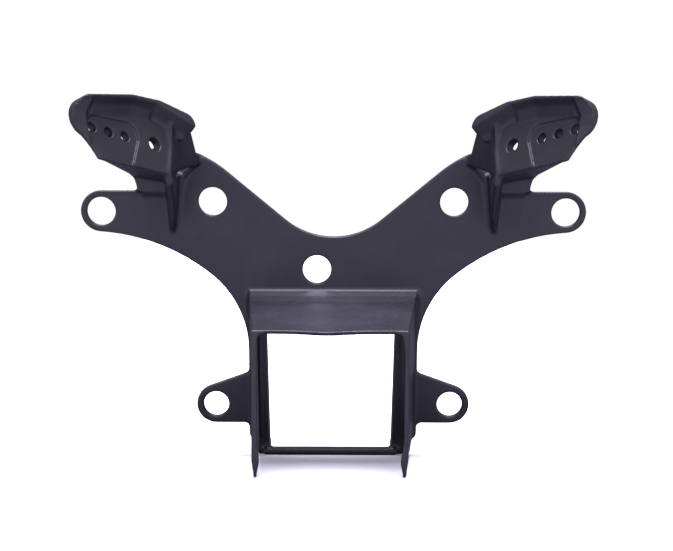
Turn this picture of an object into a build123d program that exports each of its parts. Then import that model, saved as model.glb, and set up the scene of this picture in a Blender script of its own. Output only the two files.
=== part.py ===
"""Motorcycle fairing stay: one casting that stands on its two feet and its duct sill.

X runs across the stay, -Y points to the rider's side and Z points up.
The V plate leans towards the rider's side, so its own plane carries its own sizes.
"""
from build123d import *
import os
from math import cos, radians, sin, tan

# V plate, as sizes on its own leaning face
plate_lean = 8.0            # degrees from upright
plate_thickness = 5.0
valley_height = 162.0       # bottom of the V above the ground line
valley_radius = 54.0
arm_angle = 39.6            # degrees, rise of each arm
arm_length = 53.8           # straight stretch of the arm's upper edge
shoulder_x = 96.2           # where the upper edge turns behind the pad
shoulder_height = 221.3
stem_peak_x = 120.0
stem_peak_height = 228.0
stem_outer_x = 142.0
stem_top_height = 219.0
flange_half_width = 61.5    # plate beside the air duct
flange_straight_top = 79.0
armpit_x = 88.5             # where the lower edge changes its radius
armpit_height = 135.0
corner_round = 3.0
stem_corner_round = 6.0

# Ears and grommet holes
upper_ear_x = 166.0
upper_ear_height = 180.0
upper_ear_radius = 14.7
lower_ear_x = 85.6
lower_ear_height = 38.0
lower_ear_radius = 14.3
lower_ear_slope = 20.0      # degrees, fall of the ear's top edge
flange_foot = 14.0          # where the flange steps in to the sill
sill_half_width = 55.5
grommet_hole_diameter = 20.4
lower_hole_diameter = 18.4
arm_hole_x = 86.2
arm_hole_height = 187.2
lamp_hole_x = -11.8         # the lamp hole sits beside the middle of the V
lamp_hole_height = 138.3

# Air duct box, as sizes in the upright frame
duct_offset = -1.8          # the duct mouth sits beside the middle of the V
duct_reach = 88.0           # from the plate's foot to the mouth
mouth_half_width = 51.3     # outside, at the ground
wall_thickness = 5.2
wall_draft = 1.3            # degrees, the box widens upwards
hood_root_height = 120.6
hood_root_reach = 16.0
hood_lip_height = 96.6
hood_thickness = 2.6
foot_depth = 12.0
foot_height = 13.0          # clear height of the arch between foot and sill

# Window in the plate, with a collar behind it and a sill under it
window_half_width = 47.8
window_top = 112.0
window_corner = 4.0
sill_height = 4.2
sill_front = 4.5
collar_depth = 19.0
collar_wall = 3.4

# Mirror pad, as sizes on its own face
ridge_x = 108.0             # inner end of the pad's face
ridge_reach = 81.0
ridge_height = 218.0
pad_turn = 50.0             # degrees, the face looks towards the middle
pad_tilt = 15.0             # degrees, the face looks up
pad_thickness = 4.0
rim_height = 9.5
rim_draft = 30.0            # degrees, slope of the rim's inner side
pad_hole_diameter = 9.0
pad_hole_place = (13.2, 3.3)
mirror_hole_diameter = 6.6
mirror_hole_pitch = 13.2
mirror_hole_count = 3
mirror_hole_first = (36.0, 7.4)
mirror_row_angle = 9.5      # degrees
panel_depth = 1.4

# Corners of the pad on its own face: x outwards from the ridge, y up the face
pad_foot_inner = (5, -17.3)
pad_foot_outer = (60.3, -8.7)
pad_notch_middle = (65.8, 0.6)
pad_tip_low = (70.3, 6.2)
pad_tip = (77.4, 17)
pad_top_outer = (69.7, 29.6)
pad_top_middle = (33, 32.8)
pad_top_inner = (9.9, 30.7)
visor_end_high = (-10.7, 24.2)
visor_end_tip = (-18, 16.4)
visor_end_low = (-13.7, 7.6)
ridge_top = (-4.5, 8.5)

# Foot of the rim's inner side, from the ridge to the pad's outer end
rim_start = (-40, -1.3)
rim_bend = (14.8, 23.2)
rim_middle = (31.3, 25.2)
rim_outer = (62.3, 23.5)
rim_end_high = (66.5, 19)
rim_end_low = (66.5, 8)
rim_runout = (100, 5)
pocket_foot = -40           # the pocket is open below the pad

# Corners of the sunk panel round the mirror holes
panel_outer = ((57, -30), (64.8, -7), (66, 16), (61.6, 19.3))
panel_inner = ((33.1, 16.9), (27.2, 13.3), (26.5, 5.2), (34.2, -10.7), (34.5, -30))

# Knuckle that carries the pad: side wall, web, stem and gusset rib
side_wall_thickness = 4.5
web_thickness = 4.0
stem_boss_height = 4.0
stem_inner_x = 120.0
stem_foot_height = 194.5
rib_foot_height = 165.0
rib_top_height = 207.0
rib_reach = 50.0
rib_foot_reach = 0.6
rib_root_x = 115.0
rib_crest_x = 108.5
rib_top_half_widths = (5.5, 2.5)    # at the root and at the crest
rib_foot_half_widths = (2.0, 0.8)

# Upper edge of the side wall: how far it stops before the shoulder, and its rise over the ridge
wall_root_inset = 1.5
wall_overlap = 1.0          # the wall starts this far inside the pad
wall_steps_back = ((-6, 1), (-16, 15))
wall_steps_front = ((14, 20), (2, 24))

# Slanted edge on which the side wall and the web end above the rib
slant_inner = (94, -29, 212.6)
slant_outer = (107.6, -29, 206)
slant_front = (108, -81, 203)

# How close a corner must be to be picked
near = 0.1
clear = 1.0

lean_cos = cos(radians(plate_lean))
lean_sin = sin(radians(plate_lean))
plate_face = Plane(origin=(0, 0, 0), x_dir=(1, 0, 0), z_dir=(0, -lean_cos, -lean_sin))


def on_plate(x, height, reach=0.0):
    """A point given by its place on the plate's face and its reach in front of it."""
    return plate_face.from_local_coords(Vector(x, height, reach))


def plate_outline():
    """Right half of the V plate's edge, from the valley round the ears to the sill."""
    valley = CenterArc((0, valley_height + valley_radius), valley_radius, 270, arm_angle)
    arm = PolarLine(valley @ 1, arm_length, arm_angle)
    shoulder = TangentArc(arm @ 1, (shoulder_x, shoulder_height), tangent=arm % 1)
    ear_top = (upper_ear_x, upper_ear_height + upper_ear_radius)
    ear_tip = (upper_ear_x + upper_ear_radius, upper_ear_height)
    ear_foot = (upper_ear_x, upper_ear_height - upper_ear_radius)
    Polyline(
        shoulder @ 1,
        (stem_peak_x, stem_peak_height),
        (stem_outer_x, stem_top_height),
        (stem_outer_x, ear_top[1]),
        ear_top,
    )
    ThreePointArc(ear_top, ear_tip, ear_foot)
    flange_top = (flange_half_width, flange_straight_top)
    hip = TangentArc(flange_top, (armpit_x, armpit_height), tangent=(0, 1))
    TangentArc(hip @ 1, ear_foot, tangent=hip % 1)
    slope = radians(lower_ear_slope)
    meet = (
        lower_ear_x + lower_ear_radius * sin(slope),
        lower_ear_height + lower_ear_radius * cos(slope),
    )
    ear_root = (flange_half_width, meet[1] + (meet[0] - flange_half_width) * tan(slope))
    lower_tip = (lower_ear_x + lower_ear_radius, lower_ear_height)
    lower_foot = (lower_ear_x, lower_ear_height - lower_ear_radius)
    Polyline(flange_top, ear_root, meet)
    ThreePointArc(meet, lower_tip, lower_foot)
    Polyline(
        lower_foot,
        (flange_half_width, lower_foot[1]),
        (flange_half_width, flange_foot),
        (sill_half_width, flange_foot - (flange_half_width - sill_half_width)),
        (sill_half_width, 0),
        (0, 0),
    )


with BuildPart() as plate:
    with BuildSketch(plate_face) as plate_sketch:
        with BuildLine():
            plate_outline()
            mirror(about=Plane.YZ)
        make_face()
        stem_corners = plate_sketch.vertices().filter_by_position(
            Axis.Y, stem_top_height - clear, stem_peak_height + clear
        )
        fillet(stem_corners.filter_by(lambda v: abs(v.X) > shoulder_x + clear), stem_corner_round)
        ear_roots = plate_sketch.vertices().filter_by(
            lambda v: abs(abs(v.X) - flange_half_width) < near
            and sill_height < v.Y < flange_straight_top - clear
        )
        fillet(ear_roots, corner_round)
    extrude(amount=-plate_thickness)


def duct_plan(root_half, mouth_half):
    """Plan of the air duct: wide at the plate, narrow and set aside at the mouth."""
    flare = (root_half - mouth_half) / duct_reach
    back = plate_thickness * 2
    front = duct_reach + plate_thickness * 2
    back_half = root_half + flare * back
    front_half = mouth_half - flare * (front - duct_reach)
    front_middle = duct_offset * front / duct_reach
    Polyline(
        (-back_half, back),
        (front_middle - front_half, -front),
        (front_middle + front_half, -front),
        (back_half, back),
        close=True,
    )


def plate_y(height, depth):
    """Y of the plate at a height, at a depth behind its front face."""
    return depth / lean_cos - height * tan(radians(plate_lean))


hood_slope = (hood_root_height - hood_lip_height) / (duct_reach - hood_root_reach)
hood_drop = hood_thickness * (1 + hood_slope**2) ** 0.5
duct_root_half = flange_half_width - wall_thickness / 2

with BuildPart() as duct_cavity:
    beyond = 2 * plate_thickness
    with BuildSketch(Plane.XY.offset(-beyond)):
        with BuildLine():
            duct_plan(duct_root_half - wall_thickness, mouth_half_width - wall_thickness)
        make_face()
    extrude(amount=hood_root_height + 2 * beyond, taper=-wall_draft)
    with BuildSketch(Plane.YZ):
        with BuildLine():
            root_z = hood_root_height - hood_drop
            lip_z = hood_lip_height - hood_drop - hood_slope * beyond
            Polyline(
                (plate_y(-beyond, 0), -beyond),
                (plate_y(root_z, 0), root_z),
                (-duct_reach - beyond, lip_z),
                (-duct_reach - beyond, -beyond),
                close=True,
            )
        make_face()
    extrude(amount=2 * duct_reach, both=True, mode=Mode.INTERSECT)

with BuildPart() as duct:
    with BuildSketch(Plane.XY.offset(-beyond)):
        with BuildLine():
            duct_plan(duct_root_half, mouth_half_width)
        make_face()
    extrude(amount=hood_root_height + 2 * beyond, taper=-wall_draft)
    with BuildSketch(Plane.YZ) as side_view:
        middle = plate_thickness / 2
        with BuildLine():
            Polyline(
                (plate_y(foot_height, middle), foot_height),
                (plate_y(hood_root_height, middle), hood_root_height),
                (-hood_root_reach - plate_thickness / 2, hood_root_height),
                (-duct_reach, hood_lip_height),
                (-duct_reach, 0),
                (-duct_reach + foot_depth, 0),
                (-duct_reach + foot_depth, foot_height),
                close=True,
            )
        make_face()
        arch_corner = side_view.vertices().sort_by_distance((-duct_reach + foot_depth, foot_height))[0]
        fillet(arch_corner, corner_round)
        foot_corners = side_view.vertices().group_by(Axis.Y)[0]
        fillet(foot_corners, corner_round)
    extrude(amount=2 * duct_reach, both=True, mode=Mode.INTERSECT)
    add(duct_cavity.part, mode=Mode.SUBTRACT)


def window_outline(grow, foot):
    """Window in the plate: slightly narrower at its sill, drafted like the box."""
    foot_half = window_half_width - window_top * tan(radians(wall_draft)) + grow
    top_half = window_half_width + grow
    Polyline(
        (duct_offset - foot_half, foot),
        (duct_offset + foot_half, foot),
        (duct_offset + top_half, window_top + grow),
        (duct_offset - top_half, window_top + grow),
        close=True,
    )


with BuildPart() as collar:
    with BuildSketch(Plane.XZ.offset(-2 * collar_depth)) as collar_sketch:
        with BuildLine():
            window_outline(collar_wall, 0)
        make_face()
        fillet(collar_sketch.vertices().group_by(Axis.Y)[-1], window_corner)
    extrude(amount=4 * collar_depth)
    with BuildSketch(Plane.YZ):
        over = window_top + 2 * collar_wall
        with BuildLine():
            Polyline(
                (plate_y(0, plate_thickness / 2), 0),
                (plate_y(0, plate_thickness + collar_depth), 0),
                (plate_y(over, plate_thickness + collar_depth), over),
                (plate_y(over, plate_thickness / 2), over),
                close=True,
            )
        make_face()
    extrude(amount=2 * duct_reach, both=True, mode=Mode.INTERSECT)

with BuildPart() as window:
    with BuildSketch(Plane.XZ.offset(-2 * collar_depth)) as window_sketch:
        with BuildLine():
            window_outline(0, sill_height)
        make_face()
        fillet(window_sketch.vertices(), window_corner)
    extrude(amount=4 * collar_depth)

with BuildPart() as sill:
    with BuildSketch(Plane.XZ):
        with Locations((duct_offset, 0)):
            sill_width = 2 * mouth_half_width - wall_thickness
            Rectangle(sill_width, sill_height, align=(Align.CENTER, Align.MIN))
    extrude(amount=sill_front)

pad_face = Plane(
    origin=(ridge_x, -ridge_reach, ridge_height),
    x_dir=(cos(radians(pad_turn)), -sin(radians(pad_turn)), 0),
    z_dir=(
        -sin(radians(pad_turn)) * cos(radians(pad_tilt)),
        -cos(radians(pad_turn)) * cos(radians(pad_tilt)),
        sin(radians(pad_tilt)),
    ),
)


def pad_outline():
    """Edge of the pad with its rim: notched below, rounded outside, hooked at the ridge."""
    foot = Line(pad_foot_inner, pad_foot_outer)
    notch = ThreePointArc(foot @ 1, pad_notch_middle, pad_tip_low)
    ThreePointArc(notch @ 1, pad_tip, pad_top_outer)
    Polyline(pad_top_outer, pad_top_middle, pad_top_inner, visor_end_high)
    ThreePointArc(visor_end_high, visor_end_tip, visor_end_low)
    Polyline(visor_end_low, ridge_top, pad_foot_inner)


with BuildPart() as knuckle:
    with BuildSketch(pad_face.offset(-pad_thickness)):
        with BuildLine():
            pad_outline()
        make_face()
    extrude(amount=pad_thickness + rim_height)
    with BuildSketch(pad_face):
        with BuildLine():
            Polyline(
                (rim_start[0], pocket_foot),
                rim_start,
                rim_bend,
                rim_middle,
                rim_outer,
                rim_end_high,
                rim_end_low,
                rim_runout,
                (rim_runout[0], pocket_foot),
                close=True,
            )
        make_face()
    extrude(amount=2 * rim_height, taper=-rim_draft, mode=Mode.SUBTRACT)
    with BuildSketch(pad_face):
        with BuildLine():
            Polyline(*panel_outer, *panel_inner, close=True)
        make_face()
    extrude(amount=-panel_depth, mode=Mode.SUBTRACT)
    with BuildSketch(pad_face):
        with Locations(pad_hole_place):
            Circle(pad_hole_diameter / 2)
        row = radians(mirror_row_angle)
        for step in range(mirror_hole_count):
            away = step * mirror_hole_pitch
            spot = (mirror_hole_first[0] + away * cos(row), mirror_hole_first[1] + away * sin(row))
            with Locations(spot):
                Circle(mirror_hole_diameter / 2)
    extrude(amount=-2 * pad_thickness, mode=Mode.SUBTRACT)


def pad_point(along, up, reach=0.0):
    """A point given by its place on the pad's face and its reach in front of it."""
    return pad_face.from_local_coords(Vector(along, up, reach))


ridge_foot = pad_point(*pad_foot_inner, -pad_thickness / 2)
pad_corner = pad_point(*pad_foot_outer, -pad_thickness / 2)
stem_corner = on_plate(stem_outer_x, rib_top_height - web_thickness / 2)
arm_corner = on_plate(shoulder_x, rib_top_height - web_thickness / 2)

# The side wall runs back from the ridge to the shoulder of the arm
wall_root = on_plate(shoulder_x - wall_root_inset, shoulder_height)
wall_run = Vector(wall_root.X - ridge_x, wall_root.Y + ridge_reach, 0)
side_wall_face = Plane(
    origin=(ridge_x, -ridge_reach, ridge_height),
    x_dir=wall_run,
    z_dir=wall_run.cross(Vector(0, 0, 1)),
)
web_face = Plane(
    origin=ridge_foot,
    x_dir=stem_corner - ridge_foot,
    z_dir=(pad_corner - ridge_foot).cross(stem_corner - ridge_foot),
)


def flat_on(plane, points):
    """Points dropped square onto a plane, as the plane's own x and y."""
    local = [plane.to_local_coords(point) for point in points]
    return [(point.X, point.Y) for point in local]


with BuildPart() as side_wall:
    with BuildSketch(side_wall_face):
        with BuildLine():
            Polyline(
                (-wall_overlap, pad_foot_inner[1]),
                (wall_run.length + plate_thickness, pad_foot_inner[1]),
                (wall_run.length + plate_thickness, 0),
                *[(wall_run.length + back, rise) for back, rise in wall_steps_back],
                *wall_steps_front,
                close=True,
            )
        make_face()
    extrude(amount=side_wall_thickness)

with BuildPart() as web:
    with BuildSketch(web_face):
        with BuildLine():
            web_corners = (ridge_foot, pad_corner, stem_corner, arm_corner)
            Polyline(*flat_on(web_face, web_corners), close=True)
        make_face()
    extrude(amount=web_thickness)

with BuildPart() as stem:
    with BuildSketch(plate_face):
        with BuildLine():
            Polyline(
                (stem_inner_x, stem_foot_height),
                (stem_outer_x, stem_foot_height),
                (stem_outer_x, rib_top_height + web_thickness),
                (stem_inner_x, rib_top_height + web_thickness),
                close=True,
            )
        make_face()
    extrude(amount=stem_boss_height)

# The gusset rib thins out towards its foot on the plate
with BuildPart() as rib:
    for height, (root_half, crest_half), crest, reach in (
        (rib_top_height, rib_top_half_widths, rib_crest_x, rib_reach),
        (rib_foot_height, rib_foot_half_widths, rib_root_x, rib_foot_reach),
    ):
        section = Plane(origin=on_plate(0, height), x_dir=(1, 0, 0), z_dir=plate_face.y_dir)
        with BuildSketch(section):
            with BuildLine():
                Polyline(
                    (rib_root_x - root_half, plate_thickness / 2),
                    (crest - crest_half, -reach),
                    (crest + crest_half, -reach),
                    (rib_root_x + root_half, plate_thickness / 2),
                    close=True,
                )
            make_face()
    loft()

# The web and the side wall end on one slanted edge above the rib
slant_run = Vector(slant_outer) - Vector(slant_inner)
slant_reach = Vector(slant_front) - Vector(slant_inner)
slant = Plane(origin=slant_inner, x_dir=slant_run, z_dir=slant_run.cross(slant_reach))
with BuildPart() as walls:
    add(side_wall.part)
    add(web.part)
    split(bisect_by=slant, keep=Keep.BOTTOM)

with BuildPart() as stay:
    add(plate.part)
    add(duct.part)
    add(sill.part)
    add(collar.part)
    add(window.part, mode=Mode.SUBTRACT)
    for piece in (knuckle, walls, stem, rib):
        add(piece.part)
        add(mirror(piece.part, about=Plane.YZ, mode=Mode.PRIVATE))
    with BuildSketch(plate_face):
        for side in (-1, 1):
            upper_ear = (side * upper_ear_x, upper_ear_height)
            arm_hole = (side * arm_hole_x, arm_hole_height)
            with Locations(upper_ear, arm_hole):
                Circle(grommet_hole_diameter / 2)
            with Locations((side * lower_ear_x, lower_ear_height)):
                Circle(lower_hole_diameter / 2)
        with Locations((lamp_hole_x, lamp_hole_height)):
            Circle(grommet_hole_diameter / 2)
    extrude(amount=2 * plate_thickness, both=True, mode=Mode.SUBTRACT)

stay.part.label = "stay_casting"
os.makedirs("parts", exist_ok=True)
export_step(stay.part, "parts/stay_casting.step")
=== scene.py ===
import bpy
import bmesh
import numpy
from math import cos, pi, radians, sin
from mathutils import Matrix, Vector


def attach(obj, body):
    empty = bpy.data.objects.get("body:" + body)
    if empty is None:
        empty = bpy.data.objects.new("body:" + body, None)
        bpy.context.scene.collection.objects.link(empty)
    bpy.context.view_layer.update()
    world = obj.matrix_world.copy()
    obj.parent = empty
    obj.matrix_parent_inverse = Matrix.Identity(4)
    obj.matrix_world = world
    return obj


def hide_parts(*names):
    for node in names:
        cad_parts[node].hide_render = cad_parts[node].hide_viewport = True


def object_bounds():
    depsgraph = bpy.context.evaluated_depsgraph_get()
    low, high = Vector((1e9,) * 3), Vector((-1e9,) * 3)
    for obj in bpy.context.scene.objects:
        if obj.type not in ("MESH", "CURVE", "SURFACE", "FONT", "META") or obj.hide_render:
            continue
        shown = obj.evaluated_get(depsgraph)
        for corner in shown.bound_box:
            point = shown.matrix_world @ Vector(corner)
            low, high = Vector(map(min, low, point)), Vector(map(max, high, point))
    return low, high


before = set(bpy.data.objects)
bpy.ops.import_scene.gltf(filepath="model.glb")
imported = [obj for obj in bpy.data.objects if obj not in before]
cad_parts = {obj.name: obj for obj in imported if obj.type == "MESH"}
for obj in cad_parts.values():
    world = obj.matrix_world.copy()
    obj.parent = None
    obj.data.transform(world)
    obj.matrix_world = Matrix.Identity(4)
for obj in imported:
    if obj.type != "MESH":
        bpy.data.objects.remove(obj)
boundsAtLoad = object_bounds()
scene = bpy.context.scene
print("frame loaded")

# The photographed side is the rider's side, seen level with the V plate
camera = {
    "place": (0.0023, -0.8681, 0.1624),
    "pitch": -2.0,
    "roll": 0.2,
    "lens": 63.12,
    "sensor": 36.0,
}


def placeCamera():
    data = bpy.data.cameras.new("photoCamera")
    data.lens = camera["lens"]
    data.sensor_width = camera["sensor"]
    data.sensor_fit = "HORIZONTAL"
    obj = bpy.data.objects.new("photoCamera", data)
    scene.collection.objects.link(obj)
    pitch = Matrix.Rotation(radians(90 + camera["pitch"]), 4, "X")
    roll = Matrix.Rotation(radians(camera["roll"]), 4, "Z")
    obj.matrix_world = Matrix.Translation(camera["place"]) @ pitch @ roll
    scene.camera = obj


placeCamera()
print("camera placed")


def newTree(owner):
    owner.use_nodes = True
    tree = owner.node_tree
    tree.nodes.clear()
    return tree


def node(tree, kind, **values):
    made = tree.nodes.new(kind)
    for name, value in values.items():
        if name.startswith("in_"):
            made.inputs[name[3:].replace("_", " ")].default_value = value
        else:
            setattr(made, name, value)
    return made


paint = {
    "base": (0.0095, 0.0088, 0.0125, 1),
    "dusty": (0.022, 0.021, 0.026, 1),
    # lighter edge colour: worn paint, and also a painted edge highlight
    "wornAndHighlit": (0.060, 0.059, 0.064, 1),
    "roughLow": 0.34,
    "roughHigh": 0.50,
    "sheenSize": 210.0,
    "specular": 0.5,
    "patchSize": 38.0,        # cloudy patches of dust
    "patchRange": (0.40, 0.80),
    "patchDust": 0.55,
    "hollowRange": (-0.02, -0.25),
    "hollowDust": 0.45,
    "chipSize": 420.0,
    "chipRange": (0.42, 0.62),
    "chipWear": 0.8,
    "edgeRange": (0.22, 0.55),
    "grainSize": 900.0,       # sand grain of the casting under the paint
    "grainStrength": 0.16,
    "grainDepth": 0.0003,
    "waveSize": 120.0,        # soft waves of the casting
    "waveStrength": 0.10,
    "waveDepth": 0.0010,
}
# Sockets of a colour mix
mixFactor, mixFirst, mixSecond = 0, 6, 7


def mapRange(tree, source, span, full=1.0):
    made = node(tree, "ShaderNodeMapRange", in_From_Min=span[0], in_From_Max=span[1], in_To_Max=full)
    tree.links.new(source, made.inputs["Value"])
    return made.outputs["Result"]


def noise(tree, place, size, detail, rough=0.5):
    made = node(tree, "ShaderNodeTexNoise", in_Scale=size, in_Detail=detail, in_Roughness=rough)
    tree.links.new(place.outputs["Object"], made.inputs["Vector"])
    return made.outputs["Fac"]


def bump(tree, height, strength, depth):
    made = node(tree, "ShaderNodeBump", in_Strength=strength, in_Distance=depth)
    tree.links.new(height, made.inputs["Height"])
    return made


def paintMaterial():
    material = bpy.data.materials.new("satinBlack")
    tree = newTree(material)
    link = tree.links.new
    out = node(tree, "ShaderNodeOutputMaterial")
    shader = node(tree, "ShaderNodeBsdfPrincipled")
    shader.inputs["Specular IOR Level"].default_value = paint["specular"]
    place = node(tree, "ShaderNodeTexCoord")
    bend = node(tree, "ShaderNodeAttribute", attribute_name="bend")

    # Dust lies in cloudy patches and in the hollow corners
    patches = noise(tree, place, paint["patchSize"], 5.0)
    cloud = mapRange(tree, patches, paint["patchRange"], paint["patchDust"])
    hollow = mapRange(tree, bend.outputs["Fac"], paint["hollowRange"], paint["hollowDust"])
    dust = node(tree, "ShaderNodeMath", operation="ADD", use_clamp=True)
    link(cloud, dust.inputs[0])
    link(hollow, dust.inputs[1])
    dusty = node(tree, "ShaderNodeMix", data_type="RGBA")
    dusty.inputs[mixFirst].default_value = paint["base"]
    dusty.inputs[mixSecond].default_value = paint["dusty"]
    link(dust.outputs["Value"], dusty.inputs[mixFactor])

    # Edges are a little lighter: thin, worn coat and also a painted edge highlight, broken up by a fine
    # noise
    chips = noise(tree, place, paint["chipSize"], 6.0, 0.65)
    wearAndHighlight = node(tree, "ShaderNodeMath", operation="MULTIPLY")
    link(mapRange(tree, bend.outputs["Fac"], paint["edgeRange"]), wearAndHighlight.inputs[0])
    link(mapRange(tree, chips, paint["chipRange"], paint["chipWear"]), wearAndHighlight.inputs[1])
    tone = node(tree, "ShaderNodeMix", data_type="RGBA")
    tone.inputs[mixSecond].default_value = paint["wornAndHighlit"]
    link(dusty.outputs[2], tone.inputs[mixFirst])
    link(wearAndHighlight.outputs["Value"], tone.inputs[mixFactor])
    link(tone.outputs[2], shader.inputs["Base Color"])

    sheen = noise(tree, place, paint["sheenSize"], 6.0)
    rough = node(tree, "ShaderNodeMapRange", in_To_Min=paint["roughLow"], in_To_Max=paint["roughHigh"])
    link(sheen, rough.inputs["Value"])
    link(rough.outputs["Result"], shader.inputs["Roughness"])

    sand = noise(tree, place, paint["grainSize"], 3.0)
    grain = bump(tree, sand, paint["grainStrength"], paint["grainDepth"])
    swells = noise(tree, place, paint["waveSize"], 2.0)
    wave = bump(tree, swells, paint["waveStrength"], paint["waveDepth"])
    link(grain.outputs["Normal"], wave.inputs["Normal"])
    link(wave.outputs["Normal"], shader.inputs["Normal"])
    link(shader.outputs["BSDF"], out.inputs["Surface"])
    return material


satinBlack = paintMaterial()
print("paint made")

casting = {
    "weld": 0.00002,
    "coarse": 0.0006,         # voxel of the steps that round the hollow corners
    "hollow": 0.0020,         # radius of the hollow corners
    "fine": 0.0005,           # voxel of the last skin
    "smoothSteps": 5,
    "smoothShare": 0.5,
    "triangles": 195000,
    "bendSteps": 2,           # spreads the bend value over its neighbours
}
mm = 0.001

# The plate's and the pad's own planes, in millimetres, as the casting has them
plateTurn = radians(8)
padTurn, padTilt = radians(50), radians(15)
padSpot = Vector((108, -81, 218))
padAlong = Vector((cos(padTurn), -sin(padTurn), 0))
padOut = Vector((-sin(padTurn) * cos(padTilt), -cos(padTurn) * cos(padTilt), sin(padTilt)))
padUp = padOut.cross(padAlong)


def onPlate(x, height, reach=0.0):
    y = -height * sin(plateTurn) - reach * cos(plateTurn)
    return Vector((x, y, height * cos(plateTurn) - reach * sin(plateTurn)))


def onPad(along, up, reach=0.0):
    return padSpot + padAlong * along + padUp * up + padOut * reach


def plainMesh(obj):
    graph = bpy.context.evaluated_depsgraph_get()
    return bpy.data.meshes.new_from_object(obj.evaluated_get(graph), depsgraph=graph)


def hull(shape, points, sides=(1, -1)):
    for side in sides:
        made = [shape.verts.new((side * p[0] * mm, p[1] * mm, p[2] * mm)) for p in points]
        found = bmesh.ops.convex_hull(shape, input=made)
        spare = [v for v in found["geom_interior"] if isinstance(v, bmesh.types.BMVert)]
        spare += [v for v in made if v.is_valid and not v.link_faces and v not in spare]
        bmesh.ops.delete(shape, geom=spare, context="VERTS")


ballPoints = 60
goldenTurn = 2.39996          # spreads a ball's points evenly, in radians


def ball(spot, radius):
    points = []
    for step in range(ballPoints):
        height = 1 - (2 * step + 1) / ballPoints
        turn = goldenTurn * step
        flat = (1 - height * height) ** 0.5
        points.append(Vector(spot) + radius * Vector((flat * cos(turn), flat * sin(turn), height)))
    return points


# A rounded limb through a row of spots, each with its own radius
def limb(shape, row):
    for (spot, radius), (nextSpot, nextRadius) in zip(row, row[1:]):
        hull(shape, ball(spot, radius) + ball(nextSpot, nextRadius))


knuckle = {
    "padThickness": 4.0,
    "rimWedge": 4.2,          # hollow slope between the pad's face and its rim
    "rimFoot": ((14.8, 23.2), (31.3, 25.2), (62.3, 23.5)),
    "holeRow": ((36.0, 7.4, 4.8), (49.02, 9.58, 6.5), (62.04, 11.76, 4.8)),   # place and tube length
    "holeTube": (3.3, 5.6),   # inner and outer radius
    "mainHole": (13.2, 3.3, 3.4),
    "mainTube": (4.5, 7.0),
    "tubeStart": 1.5,         # a tube starts this far inside the pad
    "tubeSides": 28,
    # bead along the ridge and its radius, first on the pad and then down the gusset
    "ridgeOnPad": ((-2.6, 7.5, -1.9, 2.3), (0.9, -3.0, -1.7, 2.8), (4.6, -14.0, -1.8, 2.9)),
    "ridgeBelow": (
        (108.6, -84.0, 196.5, 2.9),
        (109.4, -68.5, 189.0, 2.4),
        (110.6, -52.5, 181.5, 2.0),
        (112.4, -36.0, 172.5, 1.5),
    ),
    # round foot of the side wall and the gusset on the plate: across, height and radius
    "wallFoot": (
        (93.5, 217.5, 1.3),
        (95.5, 215.2, 1.9),
        (104.0, 209.2, 2.1),
        (108.0, 203.6, 2.1),
        (109.6, 194.0, 1.9),
        (111.0, 178.0, 1.6),
        (112.0, 171.0, 1.4),
    ),
    "footReach": 0.2,
    # slope of the pad's outer end: up and reach, then along and how far it drops there
    "endSlope": ((27.5, 9.7), (20.0, 4.3), (12.0, 1.3), (2.0, 0.0), (-8.0, 0.0)),
    "endDrop": ((60.0, 0.0), (72.0, 0.4), (86.0, 2.6)),
    "endReach": 20.0,
    # sunk field round the row of holes
    "field": (
        (57.0, -30.0), (64.8, -7.0), (66.0, 16.0), (61.6, 19.3),
        (33.1, 16.9), (27.2, 13.3), (26.5, 5.2), (43.0, -30.0),
    ),
    "fieldDepth": 1.5,
    "fieldReach": 6.0,
}


# A short tube behind the pad, round one of its holes
def tube(shape, hole, radii):
    along, up, length = hole
    inner, outer = radii
    start = knuckle["tubeStart"] - knuckle["padThickness"]
    end = -knuckle["padThickness"] - length
    count = knuckle["tubeSides"]
    for side in (1, -1):
        loops = []
        for radius, reach in ((outer, start), (inner, start), (inner, end), (outer, end)):
            ring = []
            for step in range(count):
                turn = 2 * pi * step / count
                spot = onPad(along + radius * cos(turn), up + radius * sin(turn), reach)
                ring.append(shape.verts.new((side * spot[0] * mm, spot[1] * mm, spot[2] * mm)))
            loops.append(ring)
        for ring, nextRing in zip(loops, loops[1:] + loops[:1]):
            for step in range(count):
                after = (step + 1) % count
                shape.faces.new((ring[step], ring[after], nextRing[after], nextRing[step]))


def addKnuckle(shape):
    # Across the slope, as up and reach
    wedge = knuckle["rimWedge"]
    section = ((0.5, -1), (-wedge, -1), (-wedge, 0.1), (-0.9, 1.5), (wedge * 0.6, wedge), (wedge, 0))
    for ends in zip(knuckle["rimFoot"], knuckle["rimFoot"][1:]):
        hull(shape, [onPad(along, up + rise, reach) for rise, reach in section for along, up in ends])
    for hole in knuckle["holeRow"]:
        tube(shape, hole, knuckle["holeTube"])
    tube(shape, knuckle["mainHole"], knuckle["mainTube"])
    ridge = [(onPad(*spot), radius) for *spot, radius in knuckle["ridgeOnPad"]]
    ridge += [(Vector(spot), radius) for *spot, radius in knuckle["ridgeBelow"]]
    limb(shape, ridge)
    reach = knuckle["footReach"]
    limb(shape, [(onPlate(x, height, reach), radius) for x, height, radius in knuckle["wallFoot"]])


box = {
    # hollow corner between the flank and the plate: height, width and depth
    "flankCorner": ((94.0, 62.2, 1.5), (110.0, 63.4, 4.5), (118.0, 63.8, 5.0), (124.0, 62.0, 0.3)),
    "flankFace": 60.0,
    "flankReach": (0.1, -1.0),
    # hollow corner between the hood and the plate, as y and z
    "hoodCorner": (
        (-16.6, 122.6), (-17.6, 121.2), (-20.0, 119.9), (-24.5, 118.3),
        (-20.0, 117.5), (-16.0, 117.5), (-15.5, 122.6),
    ),
    "hoodHalf": 60.4,
    # behind the sill the collar is open to the ground: x, y and z
    "groundOpening": ((-46.5, 42.9), (6.0, 30.0), (-3.0, 8.0)),
}


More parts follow.
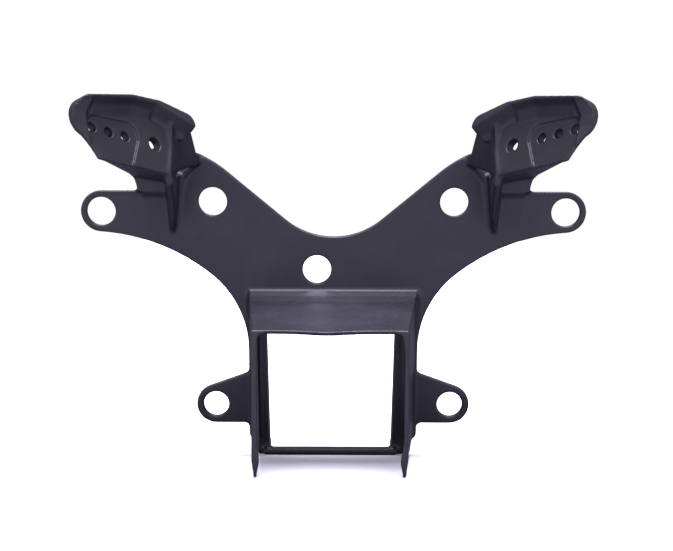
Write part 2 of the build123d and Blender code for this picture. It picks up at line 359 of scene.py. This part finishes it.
def addBoxCorners(shape):
    front, back = box["flankReach"]
    inside = box["flankFace"]
    points = []
    for height, width, depth in box["flankCorner"]:
        for x, reach in ((width, front), (inside, depth), (inside, back), (width, back)):
            points.append(onPlate(x, height, reach))
    hull(shape, points)
    half = box["hoodHalf"]
    hull(shape, [Vector((x, y, z)) for x in (-half, half) for y, z in box["hoodCorner"]], (1,))


stem = {
    "across": (118.5, 137.5),
    "footSlope": ((194.4, 3.9), (194.4, -1.0), (190.0, 0.0), (190.0, -1.0)),   # height and reach
    "flare": ((139.0, 201.0), (140.6, 203.0), (146.0, 208.6), (138.0, 208.6)),   # across and height
    "flareReach": (0.2, 3.8),
}


# Foot of the stem's thick part, and its flare under the pad
def addStem(shape):
    hull(shape, [onPlate(x, *spot) for x in stem["across"] for spot in stem["footSlope"]])
    hull(shape, [onPlate(x, height, reach) for reach in stem["flareReach"] for x, height in stem["flare"]])


# Takes the slope off the pad's outer end, and opens the collar to the ground
def firstCut():
    shape = bmesh.new()
    low = []
    for along, drop in knuckle["endDrop"]:
        low += [onPad(along, up, reach - drop) for up, reach in knuckle["endSlope"]]
    ends = (knuckle["endDrop"][0][0], knuckle["endDrop"][-1][0])
    sides = (knuckle["endSlope"][0][0], knuckle["endSlope"][-1][0])
    high = [onPad(along, up, knuckle["endReach"]) for along in ends for up in sides]
    hull(shape, low + high)
    across, deep, tall = box["groundOpening"]
    hull(shape, [Vector((x, y, z)) for x in across for y in deep for z in tall], (1,))
    return shape


# The sunk field is cut last, so that its edge stays crisp
def fieldCut():
    shape = bmesh.new()
    span = (-knuckle["fieldDepth"], knuckle["fieldReach"])
    hull(shape, [onPad(along, up, reach) for along, up in knuckle["field"] for reach in span])
    return shape


def smoothStep(value, low, high):
    part = numpy.clip((value - low) / (high - low), 0, 1)
    return part * part * (3 - 2 * part)


# Grows from 0 to 1 between the first two values and falls between the last two
def band(value, low, lowFull, highFull, high):
    return smoothStep(value, low, lowFull) * (1 - smoothStep(value, highFull, high))


# Small bends of the skin, in millimetres. Pairs and fours are the places between which
# a bend grows or fades
boxReach = 88.0
foot = {
    "front": (-74, -66),
    "height": (0, 13),
    "roots": ((61.5, 11.4, 1), (-61.5, -7.8, -1)),   # wall at the plate, its run to the mouth, side
    "inset": 2.6,
    "share": 0.62,            # how much of its width a foot loses at the ground
}
stemEdge = {
    "wide": (131, 138, 142, 150),
    "height": (185, 193, 194, 206),
    "front": (-42, -37),
    "shift": 2.6,
}
ear = {
    "skin": (0.5, 4.5),
    "front": (-6, -2),
    "wide": (134, 139),
    "height": (155, 162, 189, 195),
    "shift": 0.7,
}
hood = {
    # the hood's skin from the plate to the lip, and how far the fold moves it
    "reach": (16.5, 18.5, 22.0, 26.0, 30.0, 33.0, 36.0, 42.0, 60.0, 75.0, 88.0, 100.0),
    "height": (120.6, 120.6, 119.4, 118.0, 116.6, 115.6, 114.6, 112.5, 106.3, 101.1, 96.6, 96.6),
    "change": (0.0, 0.0, -0.4, -1.1, -1.7, -1.8, -1.4, -1.0, -0.2, 0.7, 1.8, 1.8),
    "foldBand": (-22, -5, 2.5, 4),
    "lipBand": (-12, -5, 3, 5),
    "half": 76,
    "humpMiddle": -10,
    "humpWidth": 11,
    "humpBand": (31, 37, 37, 50),
    "humpRise": 0.8,
    "dipMiddle": -4,
    "dipWidth": 17,
    "dipReach": (62, 88),
    "dipDepth": 1.3,
    "lipReach": (84.5, 87),
    "lipHalf": (44, 46.5),
    "lipMiddle": -1.8,
    "lipHeight": (95.2, 98.2),
    "lipLean": 2.4,
}
wall = {
    "reach": (15, 80),
    "wide": (36, 44),
    "top": (104, 112),
    "shift": 0.5,
    "lean": 1.4,
    "height": 98,
    "inside": 53.7,           # inner face at the plate
    "flare": 7.6,
    "draft": 0.0227,
    "aside": 1.8,
    "thinning": ((1, 2.2), (-1, 1.3)),   # side, and how much the mouth loses inside
    "thinReach": (0.25, 0.9),
    "thinHeight": (8, 24, 84, 100),
    "thinBand": (-3, -1, 1.0, 4.4),
}


# The feet thin out towards the ground
def taperFeet(x, y, z):
    here = (1 - smoothStep(y, *foot["front"])) * (1 - smoothStep(z, *foot["height"]))
    for root, run, side in foot["roots"]:
        middle = root - run * (-y / boxReach) - side * foot["inset"]
        x += (middle - x) * foot["share"] * here * (numpy.sign(x) == side)


# The stem's outer edge curves inwards down to the ear
def curveStems(x, y, z, wide):
    here = band(wide, *stemEdge["wide"]) * band(z, *stemEdge["height"]) * smoothStep(y, *stemEdge["front"])
    x -= numpy.sign(x) * stemEdge["shift"] * here


# The ears' front faces lie a little deeper than the arms
def sinkEars(y, z, wide):
    behind = y * cos(plateTurn) + z * sin(plateTurn)
    here = (1 - smoothStep(behind, *ear["skin"])) * smoothStep(behind, *ear["front"])
    here *= smoothStep(wide, *ear["wide"]) * band(z, *ear["height"])
    y += ear["shift"] * here


# The hood has a fold with a low hump behind it, and a lip that dips in its middle and leans under
def foldHood(x, y, z, wide):
    skinHeight = numpy.interp(-y, hood["reach"], hood["height"])
    change = numpy.interp(-y, hood["reach"], hood["change"])
    near = wide < hood["half"]
    z += change * band(z - skinHeight, *hood["foldBand"]) * near
    here = band(z - skinHeight, *hood["lipBand"]) * near
    hump = numpy.exp(-((x - hood["humpMiddle"]) / hood["humpWidth"]) ** 2) * band(-y, *hood["humpBand"])
    dip = numpy.exp(-((x - hood["dipMiddle"]) / hood["dipWidth"]) ** 2) * smoothStep(-y, *hood["dipReach"])
    z += (hood["humpRise"] * hump - hood["dipDepth"] * dip) * here
    across = 1 - smoothStep(numpy.abs(x - hood["lipMiddle"]), *hood["lipHalf"])
    lip = smoothStep(-y, *hood["lipReach"]) * across * here
    y += hood["lipLean"] * lip * (1 - smoothStep(z, *hood["lipHeight"]))


# The box's side walls stand a little more upright, and thin out towards the mouth from the inside
def thinWalls(x, y, z, wide):
    upright = smoothStep(-y, *wall["reach"]) * smoothStep(wide, *wall["wide"])
    upright *= (1 - smoothStep(z, *wall["top"])) * (wide < hood["half"])
    x += numpy.sign(x) * (wall["shift"] - wall["lean"] * z / wall["height"]) * upright
    out = -y / boxReach
    for side, amount in wall["thinning"]:
        face = wall["inside"] - wall["flare"] * out + wall["draft"] * z
        depth = side * x + side * wall["aside"] * out - face
        here = (numpy.sign(x) == side) * smoothStep(out, *wall["thinReach"]) * band(z, *wall["thinHeight"])
        x += side * amount * here * band(depth, *wall["thinBand"])


def bendSkin(mesh):
    place = numpy.empty(len(mesh.vertices) * 3)
    mesh.vertices.foreach_get("co", place)
    place = place.reshape(-1, 3) / mm
    x, y, z = place.T
    taperFeet(x, y, z)
    wide = numpy.abs(x)
    curveStems(x, y, z, wide)
    sinkEars(y, z, wide)
    foldHood(x, y, z, wide)
    thinWalls(x, y, z, wide)
    place = numpy.stack((x, y, z), axis=1) * mm
    mesh.vertices.foreach_set("co", place.ravel())
    mesh.update()


def skin(obj, name, voxel):
    step = obj.modifiers.new(name, "REMESH")
    step.mode = "VOXEL"
    step.voxel_size = voxel


def swell(obj, name, amount):
    step = obj.modifiers.new(name, "DISPLACE")
    step.mid_level = 0
    step.strength = amount


def take(obj, name, cutter):
    step = obj.modifiers.new(name, "BOOLEAN")
    step.operation = "DIFFERENCE"
    step.solver = "MANIFOLD"
    step.object = cutter


# Bend of the skin at each vertex, from -1 in a hollow corner to 1 on a sharp edge
def addBend(mesh):
    count = len(mesh.vertices)
    place = numpy.empty(count * 3)
    mesh.vertices.foreach_get("co", place)
    place = place.reshape(-1, 3)
    normal = numpy.empty(count * 3)
    mesh.vertices.foreach_get("normal", normal)
    normal = normal.reshape(-1, 3)
    edges = numpy.empty(len(mesh.edges) * 2, dtype=numpy.int64)
    mesh.edges.foreach_get("vertices", edges)
    first, last = edges.reshape(-1, 2).T
    way = place[last] - place[first]
    span = numpy.maximum(numpy.linalg.norm(way, axis=1), 1e-6)
    atFirst = -(normal[first] * way).sum(axis=1) / span
    atLast = (normal[last] * way).sum(axis=1) / span
    ends = numpy.bincount(first, minlength=count) + numpy.bincount(last, minlength=count)
    ends = numpy.maximum(ends, 1)
    bend = numpy.bincount(first, atFirst, count) + numpy.bincount(last, atLast, count)
    bend = bend / ends
    for step in range(casting["bendSteps"]):
        near = numpy.bincount(first, bend[last], count) + numpy.bincount(last, bend[first], count)
        bend = 0.5 * bend + 0.5 * near / ends
    layer = mesh.attributes.new("bend", "FLOAT", "POINT")
    layer.data.foreach_set("value", bend.astype(numpy.float32))


# Nothing reaches out of the casting's own box
def keepInside(mesh):
    place = numpy.empty(len(mesh.vertices) * 3)
    mesh.vertices.foreach_get("co", place)
    place = numpy.clip(place.reshape(-1, 3), boundsAtLoad[0], boundsAtLoad[1])
    mesh.vertices.foreach_set("co", place.ravel())
    mesh.update()


def newPiece(name, shape):
    bmesh.ops.recalc_face_normals(shape, faces=shape.faces)
    mesh = bpy.data.meshes.new(name)
    shape.to_mesh(mesh)
    shape.free()
    obj = bpy.data.objects.new(name, mesh)
    scene.collection.objects.link(obj)
    return obj


def softCasting():
    shape = bmesh.new()
    shape.from_mesh(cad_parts["stay_casting"].data)
    bmesh.ops.remove_doubles(shape, verts=shape.verts, dist=casting["weld"])
    addKnuckle(shape)
    addBoxCorners(shape)
    addStem(shape)
    obj = newPiece("castingBody", shape)
    cutter = newPiece("endSlope", firstCut())
    skin(obj, "first", casting["coarse"])
    take(obj, "padEnd", cutter)
    dense = plainMesh(obj)
    obj.modifiers.clear()
    obj.data = dense
    bpy.data.objects.remove(cutter)
    print("first skin", len(dense.polygons))
    bendSkin(dense)
    # Swelling and shrinking the skin leaves a radius in each hollow corner
    swell(obj, "swell", casting["hollow"])
    skin(obj, "second", casting["coarse"])
    swell(obj, "shrink", -casting["hollow"])
    skin(obj, "third", casting["fine"])
    cutter = newPiece("holeField", fieldCut())
    take(obj, "field", cutter)
    skin(obj, "fourth", casting["fine"])
    smooth = obj.modifiers.new("castEdges", "SMOOTH")
    smooth.factor = casting["smoothShare"]
    smooth.iterations = casting["smoothSteps"]
    dense = plainMesh(obj)
    bpy.data.objects.remove(cutter)
    ratio = casting["triangles"] / (2 * len(dense.polygons))
    obj.modifiers.clear()
    obj.data = dense
    thin = obj.modifiers.new("thin", "DECIMATE")
    thin.ratio = min(1, ratio)
    obj.data = plainMesh(obj)
    obj.modifiers.clear()
    keepInside(obj.data)
    addBend(obj.data)
    obj.data.materials.clear()
    obj.data.materials.append(satinBlack)
    for face in obj.data.polygons:
        face.use_smooth = True
    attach(obj, "root")
    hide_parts("stay_casting")
    return obj


body = softCasting()
print("casting made", len(body.data.polygons))

studio = {
    "floorSize": 60.0,
    "floorColor": (0.95, 0.95, 0.955, 1),
    # painted shade: the paper as the casting's reflections and bounce light see it, darker than the paper
    # the camera sees, before the casting and darkest behind it
    "shadedPaperFront": (0.335, 0.32, 0.375, 1),
    "shadedPaperBack": (0.07, 0.065, 0.08, 1),
    "shadedPaperEdge": (-0.25, 0.02),   # y between which the first turns into the second
    "sunPower": 9.0,
    "sunColor": (0.82, 0.78, 1.0),
    "sunAngle": 56.0,
    "sunTilt": 8.0,           # the lamp above leans towards the rider's side
    "tint": (1.0, 0.95, 1.15),
    "skyHeight": (0.30, 0.48),   # height of a direction where the walls end and the roof is full
    # brightness of walls and of roof, from the rider's side (0) to straight behind (1)
    "walls": (
        (0.0, 1.30), (0.12, 1.30), (0.22, 1.70), (0.42, 1.40), (0.54, 0.60), (0.66, 0.08), (1.0, 0.08),
    ),
    "roof": (
        (0.0, 0.50), (0.12, 0.50), (0.25, 1.00), (0.40, 0.80), (0.52, 0.40), (0.70, 0.50), (1.0, 0.35),
    ),
}


def makeFloor():
    bpy.ops.mesh.primitive_plane_add(size=studio["floorSize"], location=(0, 0, 0))
    floor = bpy.context.object
    floor.name = "floor"
    material = bpy.data.materials.new("floorPaper")
    tree = newTree(material)
    out = node(tree, "ShaderNodeOutputMaterial")
    paper = node(tree, "ShaderNodeBsdfDiffuse")
    paper.inputs["Color"].default_value = studio["floorColor"]
    # Painted shade: all rays but the camera's see a darker paper, darkest behind the casting
    shadedPaper = node(tree, "ShaderNodeBsdfDiffuse")
    place = node(tree, "ShaderNodeTexCoord")
    parts = node(tree, "ShaderNodeSeparateXYZ")
    tree.links.new(place.outputs["Object"], parts.inputs["Vector"])
    depth = mapRange(tree, parts.outputs["Y"], studio["shadedPaperEdge"])
    fade = node(tree, "ShaderNodeMix", data_type="RGBA")
    fade.inputs[mixFirst].default_value = studio["shadedPaperFront"]
    fade.inputs[mixSecond].default_value = studio["shadedPaperBack"]
    tree.links.new(depth, fade.inputs[mixFactor])
    tree.links.new(fade.outputs[2], shadedPaper.inputs["Color"])
    ray = node(tree, "ShaderNodeLightPath")
    pick = node(tree, "ShaderNodeMixShader")
    tree.links.new(ray.outputs["Is Camera Ray"], pick.inputs[0])
    tree.links.new(shadedPaper.outputs["BSDF"], pick.inputs[1])
    tree.links.new(paper.outputs["BSDF"], pick.inputs[2])
    tree.links.new(pick.outputs["Shader"], out.inputs["Surface"])
    floor.data.materials.append(material)


def makeSky():
    world = bpy.data.worlds.new("studioTent")
    scene.world = world
    tree = newTree(world)
    link = tree.links.new
    out = node(tree, "ShaderNodeOutputWorld")
    seen = node(tree, "ShaderNodeBackground", in_Strength=1.0)
    seen.inputs["Color"].default_value = (1, 1, 1, 1)
    tent = node(tree, "ShaderNodeBackground", in_Strength=1.0)
    way = node(tree, "ShaderNodeTexCoord")
    parts = node(tree, "ShaderNodeSeparateXYZ")
    link(way.outputs["Generated"], parts.inputs["Vector"])
    around = mapRange(tree, parts.outputs["Y"], (-1.0, 1.0))
    ramps = []
    for part in ("walls", "roof"):
        ramp = node(tree, "ShaderNodeValToRGB")
        stops = ramp.color_ramp.elements
        while len(stops) < len(studio[part]):
            stops.new(0.5)
        for stop, (at, light) in zip(stops, studio[part]):
            stop.position = at
            stop.color = [light * share for share in studio["tint"]] + [1]
        link(around, ramp.inputs["Fac"])
        ramps.append(ramp)
    height = mapRange(tree, parts.outputs["Z"], studio["skyHeight"])
    whole = node(tree, "ShaderNodeMix", data_type="RGBA")
    link(height, whole.inputs[mixFactor])
    link(ramps[0].outputs["Color"], whole.inputs[mixFirst])
    link(ramps[1].outputs["Color"], whole.inputs[mixSecond])
    link(whole.outputs[2], tent.inputs["Color"])
    ray = node(tree, "ShaderNodeLightPath")
    pick = node(tree, "ShaderNodeMixShader")
    link(ray.outputs["Is Camera Ray"], pick.inputs[0])
    link(tent.outputs["Background"], pick.inputs[1])
    link(seen.outputs["Background"], pick.inputs[2])
    link(pick.outputs["Shader"], out.inputs["Surface"])


def makeSun():
    data = bpy.data.lights.new("softTop", "SUN")
    data.energy = studio["sunPower"]
    data.color = studio["sunColor"]
    data.angle = radians(studio["sunAngle"])
    obj = bpy.data.objects.new("softTop", data)
    obj.rotation_euler = (radians(studio["sunTilt"]), 0, 0)
    scene.collection.objects.link(obj)


makeFloor()
makeSky()
makeSun()
scene.view_settings.view_transform = "Standard"
print("studio made")
